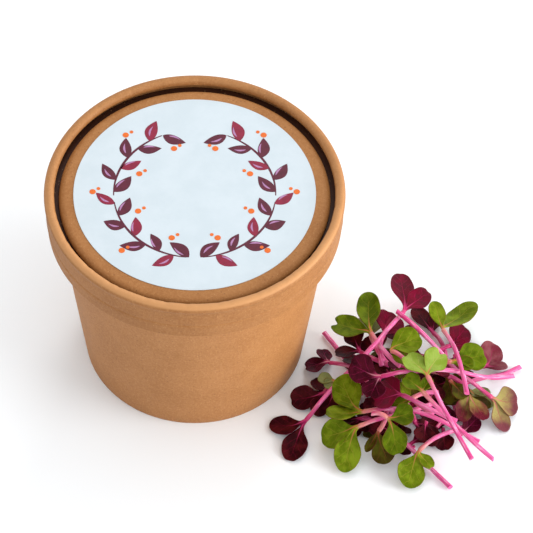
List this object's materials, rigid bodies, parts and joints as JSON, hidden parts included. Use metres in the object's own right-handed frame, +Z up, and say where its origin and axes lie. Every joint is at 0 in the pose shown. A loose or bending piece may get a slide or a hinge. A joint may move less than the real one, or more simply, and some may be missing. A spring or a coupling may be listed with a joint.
{
  "type": "red radish microgreens with closed paper growing tub",
  "caption": "Loose heap of cut red radish microgreens, pink stems with green and purple seed leaves, beside a closed kraft paper growing tub with a round label.",
  "frame": {"origin": "middle of the footprint of the tub and the heap together, on the ground they stand on", "axes": "+Z up, +X from the tub towards the heap, -Y towards the viewer of the picture"},
  "size_m": [0.1602, 0.114, 0.08],
  "materials": {
    "kraft_board": "matte",
    "kraft_panel": "matte",
    "label_paper": "satin",
    "coir": "matte",
    "sachet_paper": "matte",
    "stem_pink": "satin",
    "leaf_green": "satin",
    "leaf_pale": "satin",
    "leaf_olive": "satin",
    "leaf_mixed": "satin",
    "leaf_purple": "satin",
    "leaf_dark": "satin"
  },
  "bodies": {
    "root": {"tub_wall": "kraft_board", "tub_base": "kraft_board", "lid_ring": "kraft_board", "lid_panel": "kraft_panel", "label": "label_paper", "growing_disc": "coir", "seed_sachet": "sachet_paper", "sprout_01": "leaf_dark", "sprout_02": "leaf_dark", "sprout_03": "leaf_dark", "sprout_04": "leaf_dark", "sprout_05": "leaf_dark", "sprout_06": "leaf_dark", "sprout_07_stem": "stem_pink", "sprout_07_leaves": "leaf_dark", "sprout_08": "leaf_olive", "sprout_09_stem": "stem_pink", "sprout_09_leaves": "leaf_green", "sprout_10": "leaf_green", "sprout_11": "leaf_dark", "sprout_12": "leaf_dark", "sprout_13": "leaf_pale", "sprout_14": "leaf_purple", "sprout_15_stem": "stem_pink", "sprout_15_leaves": "leaf_dark", "sprout_16": "leaf_dark", "sprout_17": "leaf_dark", "sprout_18": "leaf_dark", "sprout_19": "leaf_dark", "sprout_20": "leaf_dark", "sprout_21": "leaf_pale", "sprout_22": "leaf_purple", "sprout_23": "leaf_dark", "sprout_24": "leaf_purple", "sprout_25": "leaf_pale", "sprout_26": "leaf_dark", "sprout_27": "leaf_olive", "sprout_28": "leaf_olive", "sprout_29": "leaf_green", "sprout_30_stem": "stem_pink", "sprout_30_leaves": "leaf_green", "sprout_31": "leaf_mixed", "sprout_32": "leaf_purple", "sprout_33": "leaf_purple", "sprout_34": "leaf_green", "sprout_35": "leaf_green", "sprout_36_stem": "stem_pink", "sprout_36_leaves": "leaf_purple", "sprout_37_stem": "stem_pink", "sprout_37_leaves": "leaf_mixed", "sprout_38": "leaf_green", "sprout_39_stem": "stem_pink", "sprout_39_leaves": "leaf_purple", "sprout_40": "leaf_green", "sprout_41_stem": "stem_pink", "sprout_41_leaves": "leaf_green", "sprout_42_stem": "stem_pink", "sprout_42_leaves": "leaf_green", "sprout_43_stem": "stem_pink", "sprout_43_leaves": "leaf_green"}
  },
  "joints": []
}
